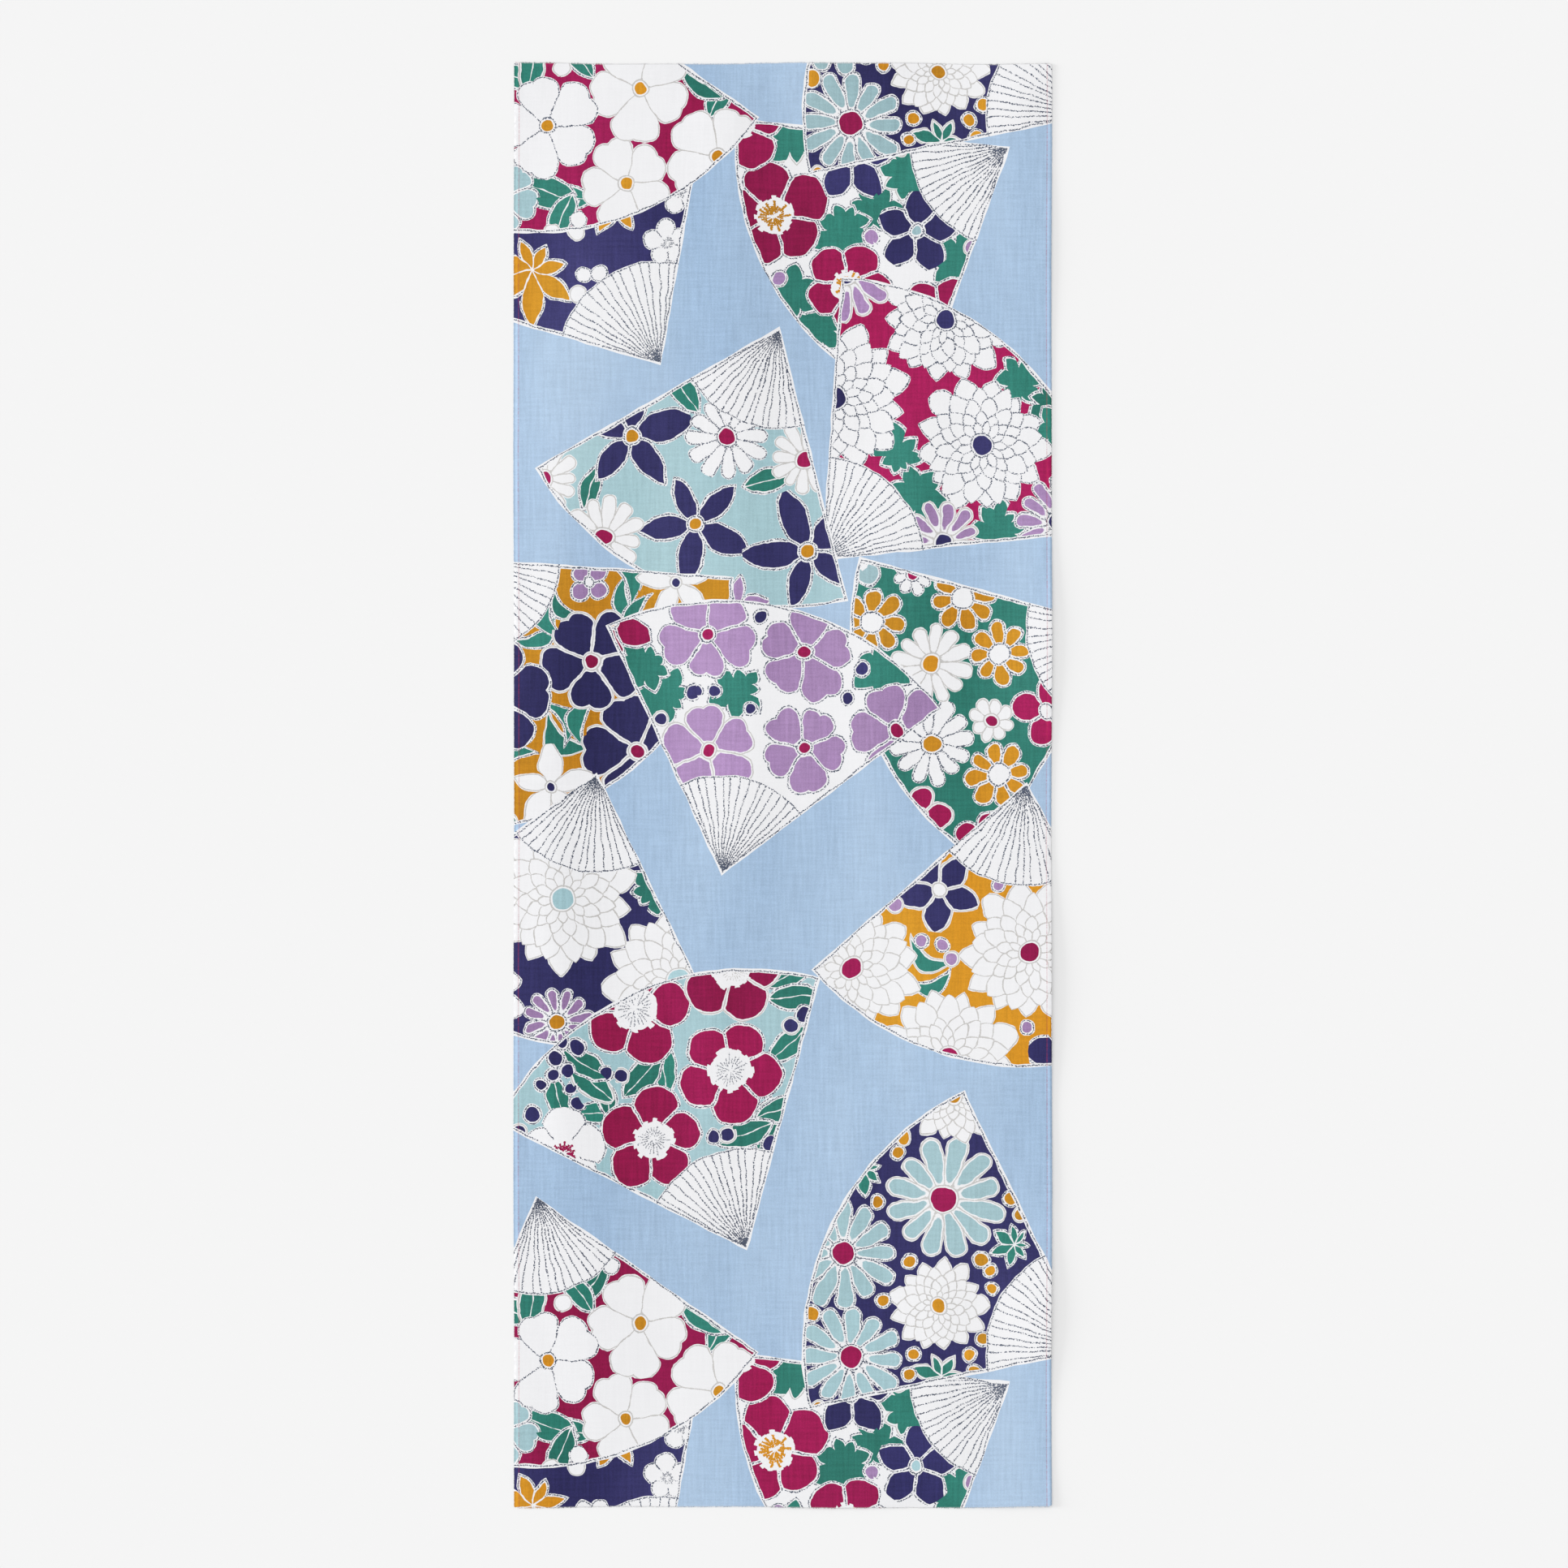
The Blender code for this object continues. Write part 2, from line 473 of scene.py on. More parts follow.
def motifValues(motif):
    # what the material needs to draw one motif, by the name of each of the sheet's attributes
    kind = motif["kind"]
    return {
        "Place": (motif["at"].x, motif["at"].y, math.radians(motif["turn"])),
        "Form": (motif["size"], kind["petals"], kind["fall"]),
        "Petal": (kind["spread"], kind["reach"], kind["round"]),
        "Draw": (kind["inner"], kind["bend"], kind["split"]),
        "Heart": (kind["heart"], kind["stamens"], kind["rays"]),
        "Rings": (kind["rings"], kind["step"], motif["tone"]),
        "PetalDye": printedDye(motif["petalDye"], motif["at"]),
        "HeartDye": printedDye(motif["heartDye"], motif["at"]),
    }


def fanValues(fan):
    return {
        "Place": (*fan["at"], math.radians(fan["facing"])),
        "Form": (fan["radius"], math.radians(fan["open"]) / 2, 0),
        "Ground": printedDye(fan["ground"], fan["at"]),
    }


def mapPrint(laid, edges):
    # parts the cloth's plane along its rim, the fans' outlines and round every motif, and
    # notes for each face its fan and up to three motifs, the lowest first
    points, faces, owners, motifs = [], [], [], []

    def addFace(outline, owner):
        faces.append(list(range(len(points), len(points) + len(outline))))
        points.extend(outline)
        owners.append(owner)

    near, right, far, left = edges
    addFace(near + right + far[::-1] + left[::-1], None)
    for f, fan in enumerate(laid):
        addFace([p / 1000 for p in fanOutline(fan)], ("fan", f))
        for motif in fan["motifs"]:
            reach = motif["size"] * printMap["grown"] + printMap["spill"]
            if abs(motif["at"].x) > clothHalf[0] + reach or abs(motif["at"].y) > clothHalf[1] + reach:
                continue
            sides = printMap["smallSides" if reach < printMap["small"] else "sides"]
            ring = [(motif["at"] + reach * unit(360 * k / sides)) / 1000 for k in range(sides)]
            addFace(ring, ("motif", f, len(motifs)))
            motifs.append(motif)
    half = cloth["cell"] / 2
    for x in np.arange(corner["left"] + half, corner["right"] - half, cloth["cell"]):
        for y in np.arange(corner["near"] + half, corner["far"] - half, cloth["cell"]):
            points.append(Vector((x, y)))
    # the two halves of the cloth lie apart on its UV map, so a line parts them across its middle
    past, merged = 0.01, 1e-4  # how far the line overshoots, and how close two points are one
    middleLine = [(len(points), len(points) + 1)]
    points += [Vector((corner["left"] - past, 0)), Vector((corner["right"] + past, 0))]
    flat, _, triangles, _, _, covers = delaunay_2d_cdt(points, middleLine, faces, 1, merged, True)

    kept, looks = [], []
    for triangle, over in zip(triangles, covers):
        if 0 not in over:
            continue
        fan = max((owners[k][1] for k in over if owners[k] and owners[k][0] == "fan"), default=-1)
        on = []
        if fan >= 0:
            middle = sum((flat[v] for v in triangle), Vector((0, 0))) / 3 * 1000
            if (middle - laid[fan]["at"]).length > ribShare * laid[fan]["radius"] - printMap["overRibs"]:
                on = sorted(owners[k][2] for k in over
                            if owners[k] and owners[k][0] == "motif" and owners[k][1] == fan)
            while len(on) > len(layerNames):  # the motif that reaches this face least is left out
                on.remove(max(on, key=lambda m: (middle - motifs[m]["at"]).length / motifs[m]["size"]))
        kept.append(triangle)
        looks.append([fan] + [-1] * (len(layerNames) - len(on)) + on)
    used = sorted({v for triangle in kept for v in triangle})
    renumber = {v: k for k, v in enumerate(used)}
    corners = [[renumber[v] for v in triangle] for triangle in kept]
    print("print mapped:", len(kept), "faces,", len(motifs), "motifs")
    return np.array([flat[v] for v in used]), corners, np.array(looks), motifs


def writeVectors(mesh, name, domain, values):
    written = mesh.attributes.new(name, "FLOAT_VECTOR", domain)
    written.data.foreach_set("vector", values.astype(np.float32).ravel())


def readOut(things, what, width=3):
    # a row of three measures for each thing, or one whole number
    values = np.zeros(len(things) * width, np.float32 if width == 3 else np.int32)
    things.foreach_get(what, values)
    return values.reshape(-1, width) if width > 1 else values


def keepPrint(mesh, looks, laid, motifs):
    # writes each face's fan and motifs as attributes, and gives it the plainest material that draws them
    nothing = {part: (0, 0, 0) for part in motifParts + dyedParts}
    bare = {"Place": (0, 0, 0), "Form": (0, 0, 0), "Ground": dyes["sky"][:3]}
    motifRows = [motifValues(motif) for motif in motifs] + [nothing]
    fanRows = [fanValues(fan) for fan in laid] + [bare]
    layers = [("fan", fanRows)] + [(name, motifRows) for name in layerNames]
    for chosen, (prefix, rows) in zip(looks.T, layers):
        for part in rows[0]:
            writeVectors(mesh, prefix + part, "FACE", np.array([row[part] for row in rows])[chosen])
    ringed = np.array([motif["kind"]["rings"] > 1 for motif in motifs] + [False])
    keys = [(fan >= 0, *(bool(ringed[m]) for m in on if m >= 0)) for fan, *on in looks.tolist()]
    kinds = sorted(set(keys))
    mesh.polygons.foreach_set("material_index", [kinds.index(key) for key in keys])
    return kinds


# Node trees are written as sums of wires

def operator(name, *first):
    return lambda self, other: worked(self, name, *first, other)


class wire:  # a socket that can be added, multiplied and compared
    def __init__(self, tree, socket):
        self.tree = tree
        self.socket = socket

    __add__ = __radd__ = operator("ADD")
    __sub__ = operator("SUBTRACT")
    __rsub__ = operator("MULTIPLY_ADD", -1.0)
    __mul__ = operator("MULTIPLY")
    __truediv__ = operator("DIVIDE")
    __lt__ = operator("LESS_THAN")
    __gt__ = operator("GREATER_THAN")


def plug(tree, socket, value):
    if isinstance(value, wire):
        tree.links.new(value.socket, socket)
    else:
        socket.default_value = value


def made(tree, kind, inputs, output=0, **settings):
    # one output of a new node, once its settings and its inputs are given
    node = tree.nodes.new(kind)
    for name, value in settings.items():
        setattr(node, name, value)
    for label, value in inputs.items():
        plug(tree, node.inputs[label], value)
    return wire(tree, node.outputs[output])


def worked(first, operation, *others, clamp=False):
    inputs = dict(enumerate((first, *others)))
    return made(first.tree, "ShaderNodeMath", inputs, operation=operation, use_clamp=clamp)


def larger(a, b):
    return worked(a, "MAXIMUM", b)


def smaller(a, b):
    return worked(a, "MINIMUM", b)


def plain(a):
    return worked(a, "ABSOLUTE")


def lengthOf(a, b):
    return worked(a * a + b * b, "SQRT")


def rise(a, low, high):
    # 0 below low, 1 above high, and straight between
    return worked(a, "MULTIPLY_ADD", 1 / (high - low), -low / (high - low), clamp=True)


def inked(distance, half, nib):
    # 1 along a drawn line, as wide as its nib spreads and broken where it runs dry
    return rise(plain(distance) - nib - half, resist["soft"], -resist["soft"])


def below(a, level):
    return rise(a, level + resist["soft"], level - resist["soft"])


def mixed(share, a, b):
    # a where share is 0, b where it is 1
    tree = next(value.tree for value in (share, a, b) if isinstance(value, wire))
    return made(tree, "ShaderNodeMix", {0: share, 6: a, 7: b}, 2, data_type="RGBA")


def either(share, a, b):
    # the same for plain numbers
    return a + share * (b - a)


def parts(vector):
    node = vector.tree.nodes.new("ShaderNodeSeparateXYZ")
    plug(vector.tree, node.inputs[0], vector)
    return [wire(vector.tree, socket) for socket in node.outputs]


def joined(tree, x, y, z=0.0):
    return made(tree, "ShaderNodeCombineXYZ", {0: x, 1: y, 2: z})


def attribute(tree, name):
    return made(tree, "ShaderNodeAttribute", {}, "Vector", attribute_name=name)


def cloudy(where, scale, detail=0.0):
    # a soft random pattern: three values round 0.5
    inputs = {"Scale": scale, "Detail": detail, "Vector": where}
    return parts(made(where.tree, "ShaderNodeTexNoise", inputs, "Color"))


def chance(a, b):
    # random values that stay the same for the same a and b
    node = a.tree.nodes.new("ShaderNodeTexWhiteNoise")
    node.noise_dimensions = "2D"
    plug(a.tree, node.inputs["Vector"], joined(a.tree, a, b))
    return parts(wire(a.tree, node.outputs["Color"]))


def newGroup(name, inputs, outputs, family="ShaderNodeTree"):
    tree = bpy.data.node_groups.new(name, family)
    for labels, way in ((inputs, "INPUT"), (outputs, "OUTPUT")):
        for label, kind in labels.items():
            tree.interface.new_socket(label, in_out=way, socket_type="NodeSocket" + kind)
    taken = tree.nodes.new("NodeGroupInput")
    given = tree.nodes.new("NodeGroupOutput")
    return tree, {label: wire(tree, taken.outputs[label]) for label in inputs}, given


# The drawing. All of it is in millimetres, and every distance is below 0 inside its shape.

resist = {  # the white lines that part the dyes
    "inner": 1.1,  # from a drawn line in to its dye
    "outer": 0.75,  # and out to the next
    "heart": 0.4,  # from a heart's rim in to its dye
    "heartGap": 0.9,  # and out to the line round it
    "ragged": 0.5,
    "tuftRagged": 1.2,  # how much more ragged the white ground of stamens is
    "line": 0.24,  # half the width of a dark line
    "paleLine": 0.36,
    "nib": 1.2,  # how much the nib spreads and runs dry
    "paleSteady": 0.75,  # and how much less it does in a pale line
    "rayInk": 0.8,  # how strong a thin stamen's line is
    "drift": 0.4,
    "soft": 0.10,
}
fanLines = {
    "border": 1.35,
    "paper": 2.4,
    "ribs": 15,
    "rib": 0.25,
    "ribEnd": 0.05,  # how softly the ribs' lines end at the arc
    "ribGap": 0.9,  # from that arc out to the dyed paper
    "pivotInk": 0.32,  # how much wider the ribs' lines are drawn at the pivot
    "pivotReach": 15.0,  # and how far from it that goes on
    "ribUneven": 0.34,  # of the way from one rib to the next
    "edge": 0.25,
    "shaky": 0.6,  # how much of a motif's drift and raggedness its edges have
    "ribShaky": 0.5,
    "steady": 3.0,  # how far from the pivot no line drifts
    "calm": 34.0,  # and how far from it they drift in full
}
handDrawn = {  # a share's least, and how much more luck may add, from one petal or stamen to the next
    "petalSize": (0.90, 0.20),
    "petalWidth": (0.95, 0.10),
    "tuft": (0.86, 0.22),  # the white ground of stamens, beside their reach
    "rayEnd": (0.5, 0.4),
    "rayStart": (0.05, 0.4),
}
lobeLuck = 0.5  # how unevenly a leaf's lobes shorten
curlLevel = 0.4  # how far back a curled leaf lies, to stay round its middle
spokes = 24  # of stamens in a flower
thickRay = 0.5  # from this half width on, a stamen has the heart's dye
none = 0.001  # a share below this isn't drawn
farOff = 1000.0  # further than any shape reaches
lineGrey = dye(80, 88, 106)
paleGrey = dye(200, 198, 196)
whiteCotton = dyes["white"]
shakyInputs = dict.fromkeys(("Ragged", "Drift", "Nib"), "Float")


def turnedTo(point, place, bend=None, span=None):
    # a point seen from a motif: how far it lies from its middle, and round from its direction
    x, y, _ = parts(point)
    px, py, turn = parts(place)
    cosine, sine = worked(turn, "COSINE"), worked(turn, "SINE")
    along = (x - px) * cosine + (y - py) * sine
    across = (y - py) * cosine - (x - px) * sine
    if bend is not None:
        across = across + bend * (along * along / span - span * curlLevel)
    return lengthOf(along, across), worked(across, "ARCTAN2", along)


def byHand(part, luck):
    least, more = handDrawn[part]
    return luck * more + least


def petalShape(given, far, angle, ringsDrawn):
    span, petals, fall = parts(given["Form"])
    spread, reach, roundness = parts(given["Petal"])
    inner, _, split = parts(given["Draw"])
    rings, step, _ = parts(given["Rings"])
    seed, _, _ = parts(given["Place"])
    sector = worked(petals, "POWER", -1.0) * (2 * math.pi)
    lone = ringsDrawn == 1  # a flower with one ring of petals, or a leaf
    halfCosine, halfSine = worked(sector * 0.5, "COSINE"), worked(sector * 0.5, "SINE")
    shape = None
    for ring in range(ringsDrawn):
        turned = angle + sector * (0.5 * ring) if ring else angle
        number = worked(turned / sector, "ROUND")
        own = turned - number * sector
        counted = worked(number + petals * 3.0, "MODULO", petals)  # the same at both ends of a turn
        luck = chance(counted + ring * 17.0, seed)
        scale = span * (1.0 - step * ring) * byHand("petalSize", luck[0])
        if lone:
            scale = scale * (1.0 - fall * (plain(number) / petals * 2.0 + (luck[2] - 0.5) * lobeLuck))
        aside, out = plain(far * worked(own, "SINE")), far * worked(own, "COSINE")
        beyond = out - reach * scale
        drawn = larger(beyond, 0.0) + smaller(beyond, 0.0) * inner
        notch = spread
        if lone:
            notch = smaller(spread, spread * worked(out / scale, "DIVIDE", reach + 0.01, clamp=True))
        petal = lengthOf(aside - notch * scale, drawn) - roundness * scale * byHand("petalWidth", luck[1])
        distance = larger(petal, aside * halfCosine - out * halfSine + split)
        if shape is None:
            shape = distance
        else:
            distance = distance + (rings < ring + 0.5) * farOff
            shape = either(distance < 0.0, larger(shape, distance * -1.0), distance)
    return shape


def motifGroup(name, ringsDrawn):
    inputs = dict.fromkeys(("Point", *motifParts), "Vector")
    inputs.update(dict.fromkeys((*dyedParts, "Under"), "Color"))
    tree, given, out = newGroup(name, {**inputs, **shakyInputs}, {"Colour": "Color"})
    span, _, _ = parts(given["Form"])
    _, bend, _ = parts(given["Draw"])
    heart, stamens, rays = parts(given["Heart"])
    _, _, tone = parts(given["Rings"])
    seed, _, _ = parts(given["Place"])
    far, angle = turnedTo(given["Point"], given["Place"], bend, span)
    shape = petalShape(given, far, angle, ringsDrawn)
    disc = far - heart * span
    ring = disc - resist["heartGap"]
    hearted = heart > none
    shape = either(hearted, shape, larger(shape, ring * -1.0))

    # a ragged middle with stamens
    tuft = stamens * span
    spoke = angle * (spokes / (2 * math.pi))
    number = worked(spoke, "ROUND")
    luck = chance(number, seed + 5.0)
    bare = far - tuft * byHand("tuft", luck[0]) - given["Ragged"] * resist["tuftRagged"]
    bare = bare + (stamens < none) * farOff
    ray = inked((spoke - number) * far * (2 * math.pi / spokes), rays, given["Nib"])
    ray = ray * (far < tuft * byHand("rayEnd", luck[1])) * (far > tuft * byHand("rayStart", luck[2]))
    thick = rays > thickRay

    edge = shape + given["Ragged"]
    inDye = below(edge, -resist["inner"]) * rise(bare, -resist["soft"], resist["soft"])
    colour = mixed(inDye, whiteCotton, given["PetalDye"])
    dyed = larger(below(disc + given["Ragged"], -resist["heart"]) * hearted, ray * thick)
    colour = mixed(dyed, colour, given["HeartDye"])
    half = either(tone, resist["line"], resist["paleLine"])
    nib = given["Nib"] * (1.0 - tone * resist["paleSteady"])
    petalLine = inked(shape + given["Drift"], half, nib)
    heartLine = inked(ring + given["Drift"], half, nib) * hearted
    drawn = larger(larger(petalLine, heartLine) * (bare > 0.0), ray * (1.0 - thick) * resist["rayInk"])
    colour = mixed(drawn, colour, mixed(tone, lineGrey, paleGrey))
    whole = larger(below(edge, resist["outer"]), below(ring, 0.0) * hearted)
    colour = mixed(larger(whole, dyed), given["Under"], colour)
    plug(tree, out.inputs["Colour"], colour)
    return tree


def fanGroup():
    inputs = {**dict.fromkeys(("Point", "Place", "Form"), "Vector"), "Motifs": "Color", **shakyInputs}
    tree, given, out = newGroup("printedFan", inputs, {"Colour": "Color"})
    radius, half, _ = parts(given["Form"])
    seed, _, _ = parts(given["Place"])

    def shaken(distance, by):
        return distance + by * fanLines["shaky"]

    far, angle = turnedTo(given["Point"], given["Place"])
    drift = given["Drift"] * rise(far, fanLines["steady"], fanLines["calm"])
    rim = larger(far - radius, far * worked(plain(angle) - half, "SINE"))
    arc = far - radius * ribShare
    rib = (angle / half * 0.5 + 0.5) * fanLines["ribs"]
    number = worked(rib, "ROUND")
    pitch = far * half * (2.0 / fanLines["ribs"])
    besideRib = (rib - number - (chance(number, seed)[0] - 0.5) * fanLines["ribUneven"]) * pitch
    ribHalf = rise(far, fanLines["pivotReach"], 0.0) * fanLines["pivotInk"] + fanLines["rib"]
    ribs = inked(besideRib + drift * fanLines["ribShaky"], ribHalf, given["Nib"])
    ribs = ribs * rise(arc, fanLines["ribEnd"], -fanLines["ribEnd"])
    ribs = ribs * below(rim, -fanLines["border"])
    paper = below(shaken(rim, given["Ragged"]), -fanLines["paper"])
    paper = paper * below(shaken(arc * -1.0, given["Ragged"]), -fanLines["ribGap"])
    edges = larger(inked(shaken(rim + fanLines["border"], drift), fanLines["edge"], given["Nib"]),
                   inked(shaken(arc, drift), fanLines["edge"], given["Nib"]))
    colour = mixed(paper, whiteCotton, given["Motifs"])
    colour = mixed(larger(ribs, edges), colour, lineGrey)
    plug(tree, out.inputs["Colour"], colour)
    return tree


weave = {
    "roughness": 0.92,
    "specular": 0.15,
    "sheen": 0.06,
    "wrongSide": 0.72,  # how strongly the print shows through on the wrong side
    "warpSlub": 0.26,  # how much lighter and darker thick and thin threads are
    "weftSlub": 0.18,
    "grain": 0.20,
    # how much darker and lighter the soft bands make every colour, whites too: painted shade of the
    # cloth's soft waves
    "cloud": 0.10,
    "onBlack": 2.6,  # how much more all of these show on the darkest dye
    "onPale": 3.1,  # and how fast that falls as the dye gets paler
    "uneven": 0.54,  # how much stronger and weaker the dye took, in soft bands along the cloth
    "thread": 0.00046,  # from one thread to the next
    "bump": 0.25,
    "bumpDepth": 0.00005,
    "marker": 2.8,  # millimetres from a selvedge in to its red yarn
    "markerHalf": 0.34,
    "markerSoft": 0.08,
    "markerDye": dye(168, 45, 70),
    "markerShare": 0.45,
    "markerBreaks": (0.1, 0.8),  # it fades between the second speck value and the first
    "selvedgePale": 0.14,
    "edgeShadeWide": 0.9,  # millimetres in from each selvedge where painted shade darkens its thick edge
    # how much darker that painted shade makes the edge
    "edgeShade": 0.26,
    "edgingDyes": (0.72, 0.50),  # the brightness above which neither shows, and below which they do
    "cutPale": 0.18,
    "cutWide": (0.75, 0.35),  # millimetres from a cut, where it starts and where it is full
    "cutUneven": 0.5,
}
shake = {  # small random patterns: how often they change in a metre, and their detail
    "broad": (70.0, 1.0),
    "fine": (300.0, 2.0),
    "grain": (1300.0, 1.0),
    "motifs": 4.2,  # millimetres that the broad one moves motifs, from end to end
    "fans": 3.0,
}
streaks = {  # long ones: how often they change in a metre across and along, and their seed
    "speck": (500.0, 1500.0, 0.0),
    # the soft bands along the cloth: uneven dye, and painted shade of its soft waves
    "cloud": (12.0, 2.8, 4.0),
    "weft": (45.0, 600.0, 1.0),
    "warp": (600.0, 38.0, 7.0),
}


def cottonMaterial(groups, key, wrongSide):
    # key says whether a fan lies there, and for each motif on it whether it has rings of petals
    hasFan, *ringed = key
    styles = ["ringed" if rings else "single" for rings in ringed]
    words = ["wrongSide" if wrongSide else "printedCotton", "fan" if hasFan else "sky", *styles]
    material = bpy.data.materials.new("_".join(words))
    material.use_nodes = True
    tree = material.node_tree
    shader = tree.nodes["Principled BSDF"]
    metres = wire(tree, tree.nodes.new("ShaderNodeTexCoord").outputs["Object"])
    x, y, _ = parts(metres)
    colour = attribute(tree, "fanGround")
    grain = cloudy(metres, *shake["grain"])

    def streaked(name, detail=2.0):
        across, along, seed = streaks[name]
        return cloudy(joined(tree, x * across, y * along, seed), 1.0, detail)[0]

    if hasFan:
        broad, fine = cloudy(metres, *shake["broad"]), cloudy(metres, *shake["fine"])
        motifPoint, fanPoint = (
            joined(tree, *(way * 1000.0 + (luck - 0.5) * shake[by] for way, luck in zip((x, y), broad)))
            for by in ("motifs", "fans"))
        shaky = {label: (luck - 0.5) * (2 * resist[label.lower()])
                 for label, luck in (("Ragged", fine[0]), ("Drift", fine[1]), ("Nib", grain[1]))}
        for layer, style in zip(layerNames[len(layerNames) - len(styles):], styles):
            drawn = {"Point": motifPoint, "Under": colour, **shaky}
            drawn.update({part: attribute(tree, layer + part) for part in motifParts + dyedParts})
            colour = made(tree, "ShaderNodeGroup", drawn, node_tree=groups[style])
        drawn = {"Point": fanPoint, "Motifs": colour, **shaky}
        drawn.update({part: attribute(tree, "fan" + part) for part in ("Place", "Form")})
        colour = made(tree, "ShaderNodeGroup", drawn, node_tree=groups["fan"])
    if wrongSide:
        colour = mixed(weave["wrongSide"], whiteCotton, colour)

    # the marker yarns, and the paler raw cuts
    fromLeft, fromRight, fromCut = parts(attribute(tree, "fromEdges"))
    speck = streaked("speck", 0.0)
    inner, outer = weave["markerHalf"], weave["markerHalf"] + weave["markerSoft"]
    marker = larger(*(rise(plain(side - weave["marker"]), outer, inner) for side in (fromLeft, fromRight)))
    marker = marker * rise(speck, *weave["markerBreaks"]) * weave["markerShare"]
    colour = mixed(marker, colour, weave["markerDye"])
    cut = rise(fromCut + speck * weave["cutUneven"], *weave["cutWide"]) * weave["cutPale"]
    colour = mixed(cut, colour, whiteCotton)

    # soft bands along the cloth: in the dye's strength they are uneven dye, and in the brightness of every
    # colour they are painted shade of the cloth's soft waves
    cloud = streaked("cloud") - 0.5
    colour = made(tree, "ShaderNodeGamma", {"Color": colour, "Gamma": cloud * weave["uneven"] + 1.0})

    # slubs: threads that run a little thick or thin, across and along the cloth, with the fine grain and
    # the soft bands' painted shade
    weft, warp = streaked("weft"), streaked("warp")
    tone = ((weft - 0.5) * weave["weftSlub"] + (warp - 0.5) * weave["warpSlub"]
            + (grain[0] - 0.5) * weave["grain"] - cloud * weave["cloud"])
    bright = made(tree, "ShaderNodeRGBToBW", {"Color": colour})
    tone = tone * (bright * -weave["onPale"] + weave["onBlack"]) + 1.0

    # dyed selvedges look lighter, and painted shade darkens the very edge of each selvedge
    fromSide = smaller(fromLeft, fromRight)
    edging = below(fromSide, weave["marker"]) * weave["selvedgePale"]
    edging = edging - below(fromSide, weave["edgeShadeWide"]) * weave["edgeShade"]
    tone = tone + edging * rise(bright, *weave["edgingDyes"])
    colour = made(tree, "ShaderNodeVectorMath", {0: colour, "Scale": tone}, operation="SCALE")

    # plain weave
    turns = math.pi / weave["thread"]
    over = worked(x * turns, "SINE") * worked(y * turns, "SINE") > 0.0
    height = either(over, *(plain(worked(way * (2 * turns), "SINE")) for way in (x, y)))
    relief = {"Strength": weave["bump"], "Distance": weave["bumpDepth"], "Height": height}
    plug(tree, shader.inputs["Normal"], made(tree, "ShaderNodeBump", relief))
    plug(tree, shader.inputs["Base Color"], colour)
    shader.inputs["Roughness"].default_value = weave["roughness"]
    shader.inputs["Specular IOR Level"].default_value = weave["specular"]
    shader.inputs["Sheen Weight"].default_value = weave["sheen"]
    return material


def edgeDistances(places, edges):
    # how far each point lies from the left selvedge, the right one and the nearer cut, in millimetres
    near, right, far, left = (np.array(edge) for edge in edges)
    x, y = places[:, 0], places[:, 1]
    fromLeft = x - np.interp(y, left[:, 1], left[:, 0])
    fromRight = np.interp(y, right[:, 1], right[:, 0]) - x
    fromNear = y - np.interp(x, near[:, 0], near[:, 1])
    fromFar = np.interp(x, far[:, 0], far[:, 1]) - y
    return 1000 * np.stack([fromLeft, fromRight, np.minimum(fromNear, fromFar)], axis=1)


def madePlain(thing, name):
    # the plain mesh that its modifiers make of an object, which then goes
    seen = thing.evaluated_get(bpy.context.evaluated_depsgraph_get())
    mesh = bpy.data.meshes.new_from_object(seen)
    bpy.data.objects.remove(thing)
    mesh.name = name
    return mesh


def finished(mesh, name):
    # gives the flat sheet its thickness
    flat = newObject("flatSheet", mesh)
    thick = flat.modifiers.new("thickness", "SOLIDIFY")
    thick.thickness = cloth["thick"]
    thick.offset = 1.0
    thick.material_offset = len(mesh.materials) // 2
    thick.material_offset_rim = 0
    flat.modifiers.new("evenNormals", "WEIGHTED_NORMAL")
    return newObject(name, madePlain(flat, name))


uvMap = {
    "print": 1.445,  # how much of the map a metre of the printed face takes
    "wrong": 0.975,  # and a metre of the wrong side
    "margin": 0.006,  # of the map, left bare beside them
    "gap": 0.005,  # metres between the halves
    "lip": 0.001,  # metres that the rim is spread out from the printed face
}


def layOutMap(mesh):
    # the UV map: the printed face in two halves side by side, and the wrong side turned above them
    wide, long = corner["right"] - corner["left"], corner["far"] - corner["near"]
    owner = np.repeat(np.arange(len(mesh.polygons)), readOut(mesh.polygons, "loop_total", 1))
    place = readOut(mesh.vertices, "co")[readOut(mesh.loops, "vertex_index", 1)]
    normal, centre = readOut(mesh.polygons, "normal")[owner], readOut(mesh.polygons, "center")[owner]
    wrong = normal[:, 2] < -0.5
    rim = np.abs(normal[:, 2]) <= 0.5
    pushed = (rim & (place[:, 2] < centre[:, 2]))[:, None] * normal[:, :2] * uvMap["lip"]
    x = place[:, 0] - corner["left"] + pushed[:, 0]
    y = place[:, 1] - corner["near"] + pushed[:, 1]
    farHalf = centre[:, 1] > 0
    u = np.where(wrong, y * uvMap["wrong"], (x + farHalf * (wide + uvMap["gap"])) * uvMap["print"])
    v = np.where(wrong, (long / 2 + 2 * uvMap["gap"]) * uvMap["print"] + x * uvMap["wrong"],
                 (y - farHalf * long / 2) * uvMap["print"])
    uv = mesh.uv_layers.new(name="OFBake")
    uv.data.foreach_set("uv", (np.stack([u, v], axis=1) + uvMap["margin"]).astype(np.float32).ravel())


